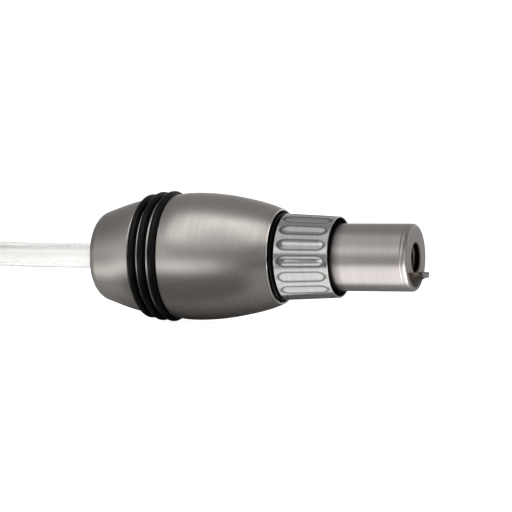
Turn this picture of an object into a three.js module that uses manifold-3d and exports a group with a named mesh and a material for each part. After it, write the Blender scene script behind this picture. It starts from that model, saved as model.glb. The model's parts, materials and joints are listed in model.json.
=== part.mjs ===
// Palm-held air hammer handpiece: a bulb body with rubber grip rings, a fluted setting collar,
// a round nose with an off-centre beak, and a soft air hose that is tied up in a flat hank.
// Millimetres, +Z up, the tool's axis along +X with the nose forward. The origin is on the
// ground under the middle of the handpiece.

import * as THREE from 'three';
import { mergeVertices } from 'three/addons/utils/BufferGeometryUtils.js';
import Module from 'manifold-3d';

// ---- Driving dimensions. A station is a distance along the axis from the flat rear face. ----

const BODY_LENGTH = 46.7;             // rear face to the front rim of the bulb
const BULB_RADIUS = 15.39;
const REAR_FACE_RADIUS = 8.6;
const RIM_RADIUS = 11.4;
const RIM_BORE_RADIUS = 11.1;
const BARREL_BORE_RADIUS = 8.6;
const NECK_SEAT_RADIUS = 10.9;
const NECK_SEAT_STATION = 38.5;
const SEAM_STATION = 13.1;            // the two shells part under the rear grip ring
const SEAM_HALF_GAP = 0.15;

const GRIP_CORD_RADIUS = 0.95;
const GRIP_GROOVE_HALF_WIDTH = 1.15;
const GRIP_GROOVE_CLEARANCE = 0.3;
const GRIP_RINGS = [
  { name: 'grip_ring_rear', station: 13.1, radius: 14.08 },
  { name: 'grip_ring_middle', station: 15.8, radius: 14.66 },
  { name: 'grip_ring_front', station: 18.6, radius: 14.86 },
];

const SPIGOT_RADIUS = 10.7;           // rear shell's threaded end inside the front shell
const SPIGOT_END = 19.6;
const SPIGOT_SEAT_RADIUS = 11.0;
const SPIGOT_SEAT_END = 21.2;

const NECK_OUTER_RADIUS = 8.75;
const NECK_INNER_RADIUS = 8.25;
const NECK_END = 58.6;

const COLLAR_START = 47.9;
const COLLAR_END = 61.2;
const COLLAR_REAR_RADIUS = 10.35;
const COLLAR_FRONT_RADIUS = 9.7;
const COLLAR_LIP_RADIUS = 9.35;
const COLLAR_BORE_RADIUS = 8.95;
const COLLAR_THREAD_RADIUS = 9.5;
const COLLAR_THREAD_END = 51.9;
const COLLAR_SHOULDER = 57.1;
const FLUTE_COUNT = 16;
const FLUTE_LENGTH = 11.5;
const FLUTE_WIDTH = 2.5;
const FLUTE_DEPTH = 0.35;
const FLUTE_PHASE = THREE.MathUtils.degToRad(184.9);

const NOSE_RADIUS = 8.05;
const NOSE_START = 44.7;
const NOSE_END = 80.0;
const NOSE_EDGE = 0.8;                // rounding of the front face's edge
const NOSE_LINE_STATION = 78.6;       // fine groove round the nose, behind that edge
const NOSE_LINE_DEPTH = 0.1;
const TOOL_BORE_RADIUS = 3.4;
const TOOL_BORE_THREAD_DEPTH = 0.3;
const BUSHING_SEAT_RADIUS = 5.0;
const BUSHING_SEAT_END = 67.7;
const BEAK_LENGTH = 3.0;
const BEAK_TIP_HALF_WIDTH = 1.0;
const BEAK_TIP_RADIUS = 4.7;          // of the flare that the beak is cut from

const HOSE_RADIUS = 3.0;
const HOSE_BORE_RADIUS = 2.0;
const HOSE_INNER_END = 8.6;
const HOSE_SIDES = 10;

const HANK_TURN_RADIUS = 24;          // centre line of the hank's outer turns
const HANK_LANES = 2;
const HANK_LAYERS = 3;
const HANK_STRAIGHT = 60;
const HANK_FRONT_STATION = -52;       // where the straight runs begin
const HANK_LEAD_IN = 20;
const HANK_HEIGHT_OFF_GROUND = 1.5;
const TIE_THICKNESS = 1.2;
const TIE_WIDTH = 8;

const PLUG_RADIUS = 6.5;
const PLUG_OFFSET = 3;                // sideways from the hank's middle
const PLUG_START = 39;                // behind the hank's front station
const NUT_LENGTH = 10;
const PLUG_LENGTH = 22;

const CLEARANCE = 0.3;

// ---- The frame. ----

const OVERALL_LENGTH = NOSE_END + BEAK_LENGTH;
const REAR_X = -OVERALL_LENGTH / 2;
const AXIS_HEIGHT = Math.max(...GRIP_RINGS.map((ring) => ring.radius)) + GRIP_CORD_RADIUS;

const SIDES = 36;
const INNER_SIDES = 18;

const rubber = () => new THREE.MeshStandardMaterial({ color: 0x141312, roughness: 0.5 });
const satinSteel = () => new THREE.MeshStandardMaterial({ color: 0x8f8b87, roughness: 0.38, metalness: 1 });
const brightSteel = () => new THREE.MeshStandardMaterial({ color: 0xc4c4c4, roughness: 0.2, metalness: 1 });
const darkSteel = () => new THREE.MeshStandardMaterial({ color: 0x2c2c2e, roughness: 0.45, metalness: 1 });
const springSteel = () => new THREE.MeshStandardMaterial({ color: 0x8a8a8c, roughness: 0.3, metalness: 1 });
const brass = () => new THREE.MeshStandardMaterial({ color: 0xb5965a, roughness: 0.35, metalness: 1 });
const bronze = () => new THREE.MeshStandardMaterial({ color: 0x9a6f47, roughness: 0.8, metalness: 1 });
const clearHose = () => new THREE.MeshStandardMaterial({ color: 0xf0efec, roughness: 0.3 });
const strapFabric = () => new THREE.MeshStandardMaterial({ color: 0x1c1c1e, roughness: 0.9 });

const wasm = await Module();
wasm.setup();

const object = new THREE.Group();
const handpiece = new THREE.Group();
handpiece.position.set(REAR_X, 0, AXIS_HEIGHT);
object.add(handpiece);

function addPiece(name, geometry, material, parent = handpiece) {
  const mesh = new THREE.Mesh(geometry, material);
  mesh.name = name;
  parent.add(mesh);
  return mesh;
}

// A turned piece. The profile is a list of [station, radius]: the outside from rear to front,
// then the inside from front to rear.
function turned(profile, sides = INNER_SIDES) {
  const points = profile.map(([station, radius]) => new THREE.Vector2(radius, station));
  const onAxis = points[0].x === 0 && points.at(-1).x === 0;
  if (!onAxis) {
    points.push(points[0].clone());
  }
  const geometry = new THREE.LatheGeometry(points, sides);
  geometry.rotateZ(-Math.PI / 2);
  return geometry;
}

function tubeProfile(start, end, outer, inner) {
  return [[start, outer], [end, outer], [end, inner], [start, inner]];
}

function ringProfile(station, radius, cordRadius, steps = 10) {
  const profile = [];
  for (let i = 0; i < steps; i += 1) {
    const angle = (i / steps) * 2 * Math.PI;
    profile.push([station + cordRadius * Math.sin(angle), radius + cordRadius * Math.cos(angle)]);
  }
  return profile;
}

function toSolid(geometry) {
  const bare = geometry.clone();
  bare.deleteAttribute('normal');
  bare.deleteAttribute('uv');
  const merged = mergeVertices(bare, 1e-4);
  const index = merged.index.array;
  const kept = [];
  for (let i = 0; i < index.length; i += 3) {
    const [a, b, c] = [index[i], index[i + 1], index[i + 2]];
    if (a !== b && b !== c && c !== a) {
      kept.push(a, b, c);
    }
  }
  return new wasm.Manifold(new wasm.Mesh({
    numProp: 3,
    vertProperties: new Float32Array(merged.attributes.position.array),
    triVerts: new Uint32Array(kept),
  }));
}

function toGeometry(solid) {
  const mesh = solid.getMesh();
  const geometry = new THREE.BufferGeometry();
  geometry.setAttribute('position', new THREE.BufferAttribute(new Float32Array(mesh.vertProperties), 3));
  geometry.setIndex(new THREE.BufferAttribute(new Uint32Array(mesh.triVerts), 1));
  geometry.computeVertexNormals();
  return geometry;
}

// A pin that points away from the axis, at an angle round it from straight up.
function radialPin(station, angle, radius, inner, outer, sides = 12) {
  const pin = new THREE.CylinderGeometry(radius, radius, outer - inner, sides);
  pin.translate(0, (inner + outer) / 2, 0);
  pin.rotateX(Math.PI / 2 - angle);
  pin.translate(station, 0, 0);
  return pin;
}

// ---- Body: two shells screwed together, with the grip rings in grooves over the seam. ----

// The bulb's outline in front of the grip rings, as [station, radius].
const BULB_OUTLINE = [
  [19.75, 14.93], [22.6, 15.3], [25.7, BULB_RADIUS], [28.8, 15.26], [31.9, 14.98],
  [35.1, 14.53], [38.2, 13.93], [41.2, 13.25], [44.3, 12.34], [BODY_LENGTH, RIM_RADIUS],
];
const CAP_OUTLINE = [
  [0, REAR_FACE_RADIUS], [0.25, 9.55], [0.9, 10.25], [1.8, 10.8], [2.8, 11.15], [4.4, 11.72],
  [6.8, 12.52], [9.45, 13.28], [11.95, 13.8],
];
const GROOVE_LAND_RADII = [14.16, 14.56];
const grooveFloor = (ring) => ring.radius - GRIP_CORD_RADIUS - GRIP_GROOVE_CLEARANCE;

const [ringRear, ringMiddle, ringFront] = GRIP_RINGS;

addPiece('rear_shell', turned([
  ...CAP_OUTLINE,
  [11.95, grooveFloor(ringRear)],
  [SEAM_STATION - SEAM_HALF_GAP, grooveFloor(ringRear)],
  [SEAM_STATION - SEAM_HALF_GAP, SPIGOT_RADIUS],
  [SPIGOT_END, SPIGOT_RADIUS],
  [SPIGOT_END, 7.0],
  [17.4, 6.1],
  [9.0, 6.1],
  [9.0, 4.6],
  [2.1, 4.6],
  [2.1, HOSE_RADIUS + CLEARANCE],
  [0, HOSE_RADIUS + CLEARANCE],
], SIDES), satinSteel());

addPiece('front_shell', turned([
  [SEAM_STATION + SEAM_HALF_GAP, grooveFloor(ringRear)],
  [ringRear.station + GRIP_GROOVE_HALF_WIDTH, grooveFloor(ringRear)],
  [ringRear.station + GRIP_GROOVE_HALF_WIDTH, GROOVE_LAND_RADII[0]],
  [ringMiddle.station - GRIP_GROOVE_HALF_WIDTH, GROOVE_LAND_RADII[0]],
  [ringMiddle.station - GRIP_GROOVE_HALF_WIDTH, grooveFloor(ringMiddle)],
  [ringMiddle.station + GRIP_GROOVE_HALF_WIDTH, grooveFloor(ringMiddle)],
  [ringMiddle.station + GRIP_GROOVE_HALF_WIDTH, GROOVE_LAND_RADII[1]],
  [ringFront.station - GRIP_GROOVE_HALF_WIDTH, GROOVE_LAND_RADII[1]],
  [ringFront.station - GRIP_GROOVE_HALF_WIDTH, grooveFloor(ringFront)],
  [ringFront.station + GRIP_GROOVE_HALF_WIDTH, grooveFloor(ringFront)],
  ...BULB_OUTLINE,
  [BODY_LENGTH, RIM_BORE_RADIUS],
  [44.0, NECK_SEAT_RADIUS],
  [NECK_SEAT_STATION, NECK_SEAT_RADIUS],
  [NECK_SEAT_STATION, BARREL_BORE_RADIUS],
  [SPIGOT_SEAT_END, BARREL_BORE_RADIUS],
  [SPIGOT_SEAT_END, SPIGOT_SEAT_RADIUS],
  [SEAM_STATION + SEAM_HALF_GAP, SPIGOT_SEAT_RADIUS],
], SIDES), satinSteel());

for (const ring of GRIP_RINGS) {
  addPiece(ring.name, turned(ringProfile(ring.station, ring.radius, GRIP_CORD_RADIUS, 8), SIDES), rubber());
}

addPiece('shell_seal', turned(ringProfile(20.4, 10.2, 0.5, 6), SIDES), rubber());

// ---- Air inlet: the hose is pushed over a barb and held by a ferrule. ----

addPiece('hose_ferrule', turned(tubeProfile(2.4, 8.6, 4.3, HOSE_RADIUS + 0.25)), brass());

addPiece('hose_fitting', turned([
  [1.6, 1.2], [3.0, 1.6], [3.4, 1.3], [5.4, 1.6], [5.8, 1.3], [9.3, 1.3], [9.3, 5.7], [12.2, 5.7], [12.2, 0.9], [1.6, 0.9],
]), brass());

addPiece('fitting_seal', turned(tubeProfile(12.5, 13.3, 5.6, 2.4)), rubber());
addPiece('inlet_filter', turned([[15.0, 0], [15.0, 5.7], [16.6, 5.7], [16.6, 0]]), bronze());

// ---- Hammer: a piston that runs in a hard liner and is sent back by a spring. ----

const LINER_START = 21.6;
const LINER_END = 38.1;
const LINER_RADIUS = 8.3;
const LINER_BORE_RADIUS = 6.5;
const BULKHEAD_START = 36.6;
const STEM_RADIUS = 2.6;
const PISTON_START = 24.3;
const PISTON_HEAD_END = 29.3;
const PISTON_STEM_END = 44.4;
const LINER_SEAL_STATIONS = { liner_seal_rear: 23.4, liner_seal_front: 36.2 };
const SEAL_HALF_WIDTH = 0.65;
const SEAL_FLOOR_RADIUS = 7.3;

const linerOutline = [[LINER_START, LINER_RADIUS]];
for (const station of Object.values(LINER_SEAL_STATIONS)) {
  linerOutline.push(
    [station - SEAL_HALF_WIDTH, LINER_RADIUS],
    [station - SEAL_HALF_WIDTH, SEAL_FLOOR_RADIUS],
    [station + SEAL_HALF_WIDTH, SEAL_FLOOR_RADIUS],
    [station + SEAL_HALF_WIDTH, LINER_RADIUS],
  );
}
addPiece('cylinder_liner', turned([
  ...linerOutline,
  [LINER_END, LINER_RADIUS],
  [LINER_END, STEM_RADIUS + CLEARANCE],
  [BULKHEAD_START, STEM_RADIUS + CLEARANCE],
  [BULKHEAD_START, LINER_BORE_RADIUS],
  [LINER_START, LINER_BORE_RADIUS],
]), springSteel());

for (const [name, station] of Object.entries(LINER_SEAL_STATIONS)) {
  addPiece(name, turned(ringProfile(station, 7.95, 0.35, 6)), rubber());
}

addPiece('rear_buffer', turned(tubeProfile(21.9, 24.0, 6.2, 3.0)), rubber());
addPiece('front_buffer', turned(tubeProfile(34.9, 36.3, 6.2, 5.0)), rubber());

addPiece('piston', turned([
  [PISTON_START, 0], [PISTON_START, 5.8], [PISTON_START + 0.4, 6.2], [PISTON_HEAD_END - 0.4, 6.2],
  [PISTON_HEAD_END, 5.8], [PISTON_HEAD_END, STEM_RADIUS], [PISTON_STEM_END - 0.4, STEM_RADIUS],
  [PISTON_STEM_END, 2.2], [PISTON_STEM_END, 0],
]), brightSteel());

class Helix extends THREE.Curve {
  constructor(radius, turns, start, end) {
    super();
    this.radius = radius;
    this.turns = turns;
    this.start = start;
    this.end = end;
  }

  getPoint(t, target = new THREE.Vector3()) {
    const angle = 2 * Math.PI * this.turns * t;
    return target.set(
      THREE.MathUtils.lerp(this.start, this.end, t),
      this.radius * Math.cos(angle),
      this.radius * Math.sin(angle),
    );
  }
}

function regularSection(radius, sides) {
  const section = new THREE.Shape();
  for (let i = 0; i < sides; i += 1) {
    const angle = (i / sides) * 2 * Math.PI;
    section[i === 0 ? 'moveTo' : 'lineTo'](radius * Math.cos(angle), radius * Math.sin(angle));
  }
  section.closePath();
  return section;
}

const SPRING_WIRE_RADIUS = 0.25;
const SPRING_TURNS = 3.5;
addPiece('piston_spring', new THREE.ExtrudeGeometry(regularSection(SPRING_WIRE_RADIUS, 5), {
  extrudePath: new Helix(
    4.0, SPRING_TURNS,
    PISTON_HEAD_END + SPRING_WIRE_RADIUS + 0.1,
    BULKHEAD_START - SPRING_WIRE_RADIUS - 0.1,
  ),
  steps: 42,
  bevelEnabled: false,
}), springSteel());

// ---- Neck: carries the collar outside and guides the nose inside. ----

const NOSE_KEY_STATION = 54.5;
const NOSE_KEY_RADIUS = 0.8;
const NOSE_TRAVEL = 0.8;
const SLEEVE_KEY_STATION = 44.2;
const SLEEVE_KEY_RADIUS = 0.5;
const PORT_STATION = 43.6;
const PORT_RADIUS = 0.7;
const DOWN = Math.PI;

let neck = toSolid(turned([
  [38.8, 10.6], [42.3, 10.6], [42.3, NECK_OUTER_RADIUS], [NECK_END, NECK_OUTER_RADIUS],
  [NECK_END, NECK_INNER_RADIUS], [38.8, NECK_INNER_RADIUS],
], SIDES));
neck = neck.subtract(toSolid(radialPin(NOSE_KEY_STATION, DOWN, NOSE_KEY_RADIUS + CLEARANCE, 7, 10)));
neck = neck.subtract(toSolid(radialPin(SLEEVE_KEY_STATION, 0, SLEEVE_KEY_RADIUS + CLEARANCE, 7, 10)));
for (const turn of [-1, 1]) {
  const port = radialPin(PORT_STATION, (turn * 2 * Math.PI) / 3, PORT_RADIUS, 7, 10);
  neck = neck.subtract(toSolid(port));
}
addPiece('neck_tube', toGeometry(neck), darkSteel());

// The sleeve slides on the neck and covers the exhaust ports. Its key keeps it from turning.
const SLEEVE_START = 43.0;
let sleeve = toSolid(turned([
  [SLEEVE_START, 10.5], [SLEEVE_START + 2.2, 10.5], [SLEEVE_START + 2.2, 9.3], [50.0, 9.3],
  [50.0, COLLAR_BORE_RADIUS], [SLEEVE_START, COLLAR_BORE_RADIUS],
], SIDES));
const keyway = new THREE.BoxGeometry(2.9, 1.6, 4);
keyway.translate(SLEEVE_KEY_STATION - 0.65, 0, 10);
sleeve = sleeve.subtract(toSolid(keyway));
addPiece('exhaust_sleeve', toGeometry(sleeve), darkSteel());
addPiece('sleeve_key', radialPin(SLEEVE_KEY_STATION, 0, SLEEVE_KEY_RADIUS, 8.4, 10.0, 8), springSteel());

// ---- Collar: turns on the neck, with long shallow flutes round it. ----

const FLUTE_CUTTER_RADIUS = (FLUTE_WIDTH ** 2 / 4 + FLUTE_DEPTH ** 2) / (2 * FLUTE_DEPTH);
const collarTaper = Math.atan2(COLLAR_REAR_RADIUS - COLLAR_FRONT_RADIUS, COLLAR_END - COLLAR_START);
const collarMiddle = (COLLAR_START + COLLAR_END) / 2;
const collarMiddleRadius = (COLLAR_REAR_RADIUS + COLLAR_FRONT_RADIUS) / 2;

let collar = toSolid(turned([
  [COLLAR_START, COLLAR_REAR_RADIUS - 0.25],
  [COLLAR_START + 0.25, COLLAR_REAR_RADIUS],
  [COLLAR_END - 0.25, COLLAR_FRONT_RADIUS],
  [COLLAR_END, COLLAR_FRONT_RADIUS - 0.15],
  [COLLAR_END, COLLAR_LIP_RADIUS],
  [COLLAR_SHOULDER, COLLAR_LIP_RADIUS],
  [COLLAR_SHOULDER, COLLAR_BORE_RADIUS],
  [COLLAR_THREAD_END, COLLAR_BORE_RADIUS],
  [COLLAR_THREAD_END, COLLAR_THREAD_RADIUS],
  [COLLAR_START, COLLAR_THREAD_RADIUS],
], 45));
for (let i = 0; i < FLUTE_COUNT; i += 1) {
  const cutter = new THREE.CapsuleGeometry(FLUTE_CUTTER_RADIUS, FLUTE_LENGTH - FLUTE_WIDTH, 4, 16);
  cutter.rotateZ(-Math.PI / 2 - collarTaper);
  cutter.translate(collarMiddle, collarMiddleRadius - FLUTE_DEPTH + FLUTE_CUTTER_RADIUS, 0);
  cutter.rotateX(FLUTE_PHASE + (i / FLUTE_COUNT) * 2 * Math.PI);
  collar = collar.subtract(toSolid(cutter));
}
addPiece('adjusting_collar', toGeometry(collar), brightSteel());

addPiece('collar_ring', turned(ringProfile(46.9, 10.1, 0.45, 6), SIDES), rubber());
addPiece('collar_retainer', turned(tubeProfile(57.4, 58.1, 9.2, 8.95), SIDES), darkSteel());

// ---- Nose: holds the work tool and carries the beak under the bore. ----

const THREAD_PITCH = 1.0;
const THREAD_START = 75.5;
const THREAD_TURNS = 4;

const boreThread = [];
for (let i = THREAD_TURNS - 1; i >= 0; i -= 1) {
  const station = THREAD_START + i * THREAD_PITCH;
  boreThread.push(
    [station + 0.5 * THREAD_PITCH, TOOL_BORE_RADIUS + TOOL_BORE_THREAD_DEPTH],
    [station, TOOL_BORE_RADIUS],
  );
}

const noseEdge = [];
for (let i = 0; i <= 3; i += 1) {
  const angle = (i / 3) * (Math.PI / 2);
  noseEdge.push([
    NOSE_END - NOSE_EDGE + NOSE_EDGE * Math.sin(angle),
    NOSE_RADIUS - NOSE_EDGE + NOSE_EDGE * Math.cos(angle),
  ]);
}

let nose = toSolid(turned([
  [NOSE_START, NOSE_RADIUS - 0.3],
  [NOSE_START + 0.3, NOSE_RADIUS],
  [NOSE_LINE_STATION - 0.15, NOSE_RADIUS],
  [NOSE_LINE_STATION, NOSE_RADIUS - NOSE_LINE_DEPTH],
  [NOSE_LINE_STATION + 0.15, NOSE_RADIUS],
  ...noseEdge,
  [NOSE_END, TOOL_BORE_RADIUS],
  ...boreThread,
  [BUSHING_SEAT_END, TOOL_BORE_RADIUS],
  [BUSHING_SEAT_END, BUSHING_SEAT_RADIUS],
  [NOSE_START, BUSHING_SEAT_RADIUS],
], SIDES));

// The beak is cut from a concave flare that is turned on the end of the nose: what is left of it
// below the ledge and inside the beak's pointed plan.
const ledgeHalfWidth = Math.sqrt(NOSE_RADIUS ** 2 - TOOL_BORE_RADIUS ** 2);
const ledgeHeight = -TOOL_BORE_RADIUS - 0.03;
const beakRoot = NOSE_END - 0.6;
const beakTip = NOSE_END + BEAK_LENGTH;

const beakPlan = new THREE.Shape();
beakPlan.moveTo(beakRoot, -ledgeHalfWidth);
beakPlan.lineTo(NOSE_END, -ledgeHalfWidth);
beakPlan.lineTo(beakTip, -BEAK_TIP_HALF_WIDTH);
beakPlan.lineTo(beakTip, BEAK_TIP_HALF_WIDTH);
beakPlan.lineTo(NOSE_END, ledgeHalfWidth);
beakPlan.lineTo(beakRoot, ledgeHalfWidth);
beakPlan.closePath();
const planSolid = new THREE.ExtrudeGeometry(beakPlan, {
  depth: NOSE_RADIUS + ledgeHeight, bevelEnabled: false,
});
planSolid.translate(0, 0, -NOSE_RADIUS);

const flareCurve = new THREE.QuadraticBezierCurve(
  new THREE.Vector2(NOSE_END, NOSE_RADIUS - NOSE_EDGE - 0.02),
  new THREE.Vector2(NOSE_END + 0.3 * BEAK_LENGTH, BEAK_TIP_RADIUS + 0.2),
  new THREE.Vector2(beakTip, BEAK_TIP_RADIUS),
);
const flare = toSolid(turned([
  [beakRoot - 0.1, 0],
  [beakRoot - 0.1, NOSE_RADIUS - NOSE_EDGE - 0.02],
  ...flareCurve.getPoints(6).map((point) => [point.x, point.y]),
  [beakTip + 0.1, BEAK_TIP_RADIUS],
  [beakTip + 0.1, 0],
], SIDES));
nose = nose.add(toSolid(planSolid).intersect(flare));

const noseSlotLength = 2 * (NOSE_KEY_RADIUS + CLEARANCE) + NOSE_TRAVEL;
const noseSlot = new THREE.BoxGeometry(noseSlotLength, 2 * (NOSE_KEY_RADIUS + CLEARANCE), 4);
noseSlot.translate(NOSE_KEY_STATION + NOSE_TRAVEL / 2, 0, -8.0);
nose = nose.subtract(toSolid(noseSlot));
addPiece('nose', toGeometry(nose), satinSteel());

addPiece('nose_bushing', turned(tubeProfile(52.5, 67.4, 4.7, TOOL_BORE_RADIUS)), springSteel());
addPiece('nose_key', radialPin(NOSE_KEY_STATION, DOWN, NOSE_KEY_RADIUS, 6.4, 8.7, 10), springSteel());
addPiece('nose_cushion', turned(tubeProfile(42.2, 43.4, 7.95, 6.2)), rubber());

// ---- Hose: straight out of the rear face and into the hank, which lies beside its line. ----

const hankBottom = HANK_HEIGHT_OFF_GROUND;
const hankTop = hankBottom + HANK_LAYERS * 2 * HOSE_RADIUS;
const hankOuter = HANK_TURN_RADIUS + HOSE_RADIUS;
const hankInner = hankOuter - HANK_LANES * 2 * HOSE_RADIUS;
const hankFront = REAR_X + HANK_FRONT_STATION;
const hankRear = hankFront - HANK_STRAIGHT;
const hankMiddleY = -HANK_TURN_RADIUS;
const leadInX = hankFront + HANK_LEAD_IN;

function hoseSection() {
  const section = regularSection(HOSE_RADIUS, HOSE_SIDES);
  section.holes.push(regularSection(HOSE_BORE_RADIUS, HOSE_SIDES));
  return section;
}

function hoseRun(points, steps) {
  return new THREE.ExtrudeGeometry(hoseSection(), {
    extrudePath: new THREE.CatmullRomCurve3(points, false, 'centripetal'),
    steps,
    bevelEnabled: false,
  });
}

const topLaneHeight = hankTop - HOSE_RADIUS;
addPiece('hose', hoseRun([
  new THREE.Vector3(REAR_X + HOSE_INNER_END, 0, AXIS_HEIGHT),
  new THREE.Vector3(REAR_X, 0, AXIS_HEIGHT),
  new THREE.Vector3(REAR_X - 10, 0, AXIS_HEIGHT),
  new THREE.Vector3(leadInX + 8, 0, topLaneHeight),
  new THREE.Vector3(leadInX + CLEARANCE, 0, topLaneHeight),
], 8), clearHose(), object);

const hankOutline = new THREE.Shape();
hankOutline.moveTo(leadInX, hankOuter);
hankOutline.lineTo(hankRear, hankOuter);
hankOutline.absarc(hankRear, 0, hankOuter, Math.PI / 2, 1.5 * Math.PI, false);
hankOutline.lineTo(hankFront, -hankOuter);
const leadInAngle = Math.asin((hankOuter - 2 * HOSE_RADIUS) / hankOuter);
hankOutline.absarc(hankFront, 0, hankOuter, -Math.PI / 2, leadInAngle, false);
hankOutline.lineTo(leadInX, hankOuter - 2 * HOSE_RADIUS);
hankOutline.closePath();
const hankHole = new THREE.Path();
hankHole.absarc(hankRear, 0, hankInner, 1.5 * Math.PI, Math.PI / 2, true);
hankHole.lineTo(hankFront, hankInner);
hankHole.absarc(hankFront, 0, hankInner, Math.PI / 2, -Math.PI / 2, true);
hankHole.closePath();
hankOutline.holes.push(hankHole);
const hankGeometry = new THREE.ExtrudeGeometry(hankOutline, {
  depth: hankTop - hankBottom, bevelEnabled: false, curveSegments: 14,
});
addPiece('hose_hank', hankGeometry, clearHose(), object).position.set(0, hankMiddleY, hankBottom);

// A strap round each side of the hank.
function strapGeometry() {
  const halfWide = (HANK_LANES * 2 * HOSE_RADIUS) / 2 + CLEARANCE;
  const halfHigh = (hankTop - hankBottom) / 2 + CLEARANCE;
  const outline = (wide, high) => [
    new THREE.Vector2(-wide, -high), new THREE.Vector2(wide, -high),
    new THREE.Vector2(wide, high), new THREE.Vector2(-wide, high),
  ];
  const strap = new THREE.Shape(outline(halfWide + TIE_THICKNESS, halfHigh + TIE_THICKNESS));
  strap.holes.push(new THREE.Path(outline(halfWide, halfHigh)));
  const geometry = new THREE.ExtrudeGeometry(strap, { depth: TIE_WIDTH, bevelEnabled: false });
  geometry.translate(0, 0, -TIE_WIDTH / 2);
  geometry.rotateZ(Math.PI / 2);
  geometry.rotateY(Math.PI / 2);
  return geometry;
}
const tieX = (hankFront + hankRear) / 2;
const tieZ = (hankTop + hankBottom) / 2;
const tieOffset = (hankOuter + hankInner) / 2;
addPiece('hank_tie_left', strapGeometry(), strapFabric(), object)
  .position.set(tieX, hankMiddleY + tieOffset, tieZ);
addPiece('hank_tie_right', strapGeometry(), strapFabric(), object)
  .position.set(tieX, hankMiddleY - tieOffset, tieZ);

// The hose's end leaves the inner lane and carries the plug, inside the hank's open middle.
const plugX = hankFront - PLUG_START;
const plugY = hankMiddleY + PLUG_OFFSET;
addPiece('hose_tail', hoseRun([
  new THREE.Vector3(hankFront - 19.5, hankMiddleY + 11.2, 14.2),
  new THREE.Vector3(hankFront - 25, hankMiddleY + 7.2, 11.2),
  new THREE.Vector3(hankFront - 31, plugY + 1.2, 8.1),
  new THREE.Vector3(plugX + 3, plugY + 0.05, PLUG_RADIUS + 0.05),
  new THREE.Vector3(plugX + CLEARANCE, plugY, PLUG_RADIUS),
], 6), clearHose(), object);

const plug = new THREE.Group();
plug.position.set(plugX, plugY, PLUG_RADIUS);
plug.rotation.z = Math.PI;
object.add(plug);
addPiece('plug_nut', turned([
  [0, 0], [0, 5.6], [0.8, PLUG_RADIUS], [NUT_LENGTH - 0.8, PLUG_RADIUS], [NUT_LENGTH, 5.6],
  [NUT_LENGTH, 0],
], 16), brass(), plug);
const plugStart = NUT_LENGTH + CLEARANCE;
addPiece('hose_plug', turned([
  [plugStart, 0], [plugStart, 5.2], [plugStart + 7, 5.2], [plugStart + 8, 3.9],
  [plugStart + 13, 3.9], [plugStart + 13.6, 3.1], [plugStart + 16, 3.1], [plugStart + 16.6, 3.9],
  [plugStart + PLUG_LENGTH - 1, 3.7], [plugStart + PLUG_LENGTH, 2.9], [plugStart + PLUG_LENGTH, 1.6],
  [plugStart + 4, 1.6], [plugStart + 4, 0],
], 20), brightSteel(), plug);

export default object;
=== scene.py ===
# Palm-held air hammer handpiece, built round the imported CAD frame. Metres, +X along the tool.
import json
import math

import bmesh
import bpy
from mathutils import Matrix, Vector


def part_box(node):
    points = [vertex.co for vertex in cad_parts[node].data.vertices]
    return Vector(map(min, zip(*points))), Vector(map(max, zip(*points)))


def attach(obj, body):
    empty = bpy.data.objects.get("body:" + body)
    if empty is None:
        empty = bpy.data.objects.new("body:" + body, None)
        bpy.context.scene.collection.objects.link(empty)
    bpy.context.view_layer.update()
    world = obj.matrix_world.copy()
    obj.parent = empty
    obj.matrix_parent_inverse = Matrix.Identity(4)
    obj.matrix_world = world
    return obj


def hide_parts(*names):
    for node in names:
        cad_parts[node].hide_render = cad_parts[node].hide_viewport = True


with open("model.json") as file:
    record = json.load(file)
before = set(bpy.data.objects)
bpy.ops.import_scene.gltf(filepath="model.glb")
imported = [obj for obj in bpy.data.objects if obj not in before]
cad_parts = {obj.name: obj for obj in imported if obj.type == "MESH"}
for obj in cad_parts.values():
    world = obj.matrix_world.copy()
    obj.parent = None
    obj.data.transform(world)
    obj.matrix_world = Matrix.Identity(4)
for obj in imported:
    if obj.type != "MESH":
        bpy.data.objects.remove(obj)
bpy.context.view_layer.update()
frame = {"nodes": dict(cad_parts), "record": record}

MM = 0.001

# ---- Where things are, read from the frame. A station is millimetres from the rear face. ----

shell_low, shell_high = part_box("rear_shell")
REAR_X = shell_low.x
AXIS_Z = (shell_low.z + shell_high.z) / 2


def on_axis(station, y=0.0, z=0.0):
    """A point in the row frame from a station and an offset from the axis, in millimetres."""
    return Vector((REAR_X + station * MM, y * MM, AXIS_Z + z * MM))


# ---- Camera: the photograph's view, from a little above and in front of the nose's side. ----

AIM_STATION = 39.7
AIM_HEIGHT = 0.14                     # above the axis, in millimetres
CAMERA_AZIMUTH = math.radians(21.0)
CAMERA_ELEVATION = math.radians(1.0)
CAMERA_DISTANCE = 0.72
LENS_MM = 210.9

camera_data = bpy.data.cameras.new("camera")
camera_data.lens = LENS_MM
camera_data.sensor_width = 36.0
camera_data.clip_start = 0.02
camera_data.clip_end = 20.0
camera = bpy.data.objects.new("camera", camera_data)
bpy.context.scene.collection.objects.link(camera)
toward_camera = Vector((
    math.sin(CAMERA_AZIMUTH) * math.cos(CAMERA_ELEVATION),
    -math.cos(CAMERA_AZIMUTH) * math.cos(CAMERA_ELEVATION),
    math.sin(CAMERA_ELEVATION),
))
camera.location = on_axis(AIM_STATION, z=AIM_HEIGHT) + toward_camera * CAMERA_DISTANCE
camera.rotation_euler = (-toward_camera).to_track_quat("-Z", "Y").to_euler()
bpy.context.scene.camera = camera

# ---- Node helpers for the materials. ----


def new_material(name):
    material = bpy.data.materials.new(name)
    material.use_nodes = True
    tree = material.node_tree
    shader = tree.nodes["Principled BSDF"]
    return material, tree, shader


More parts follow.
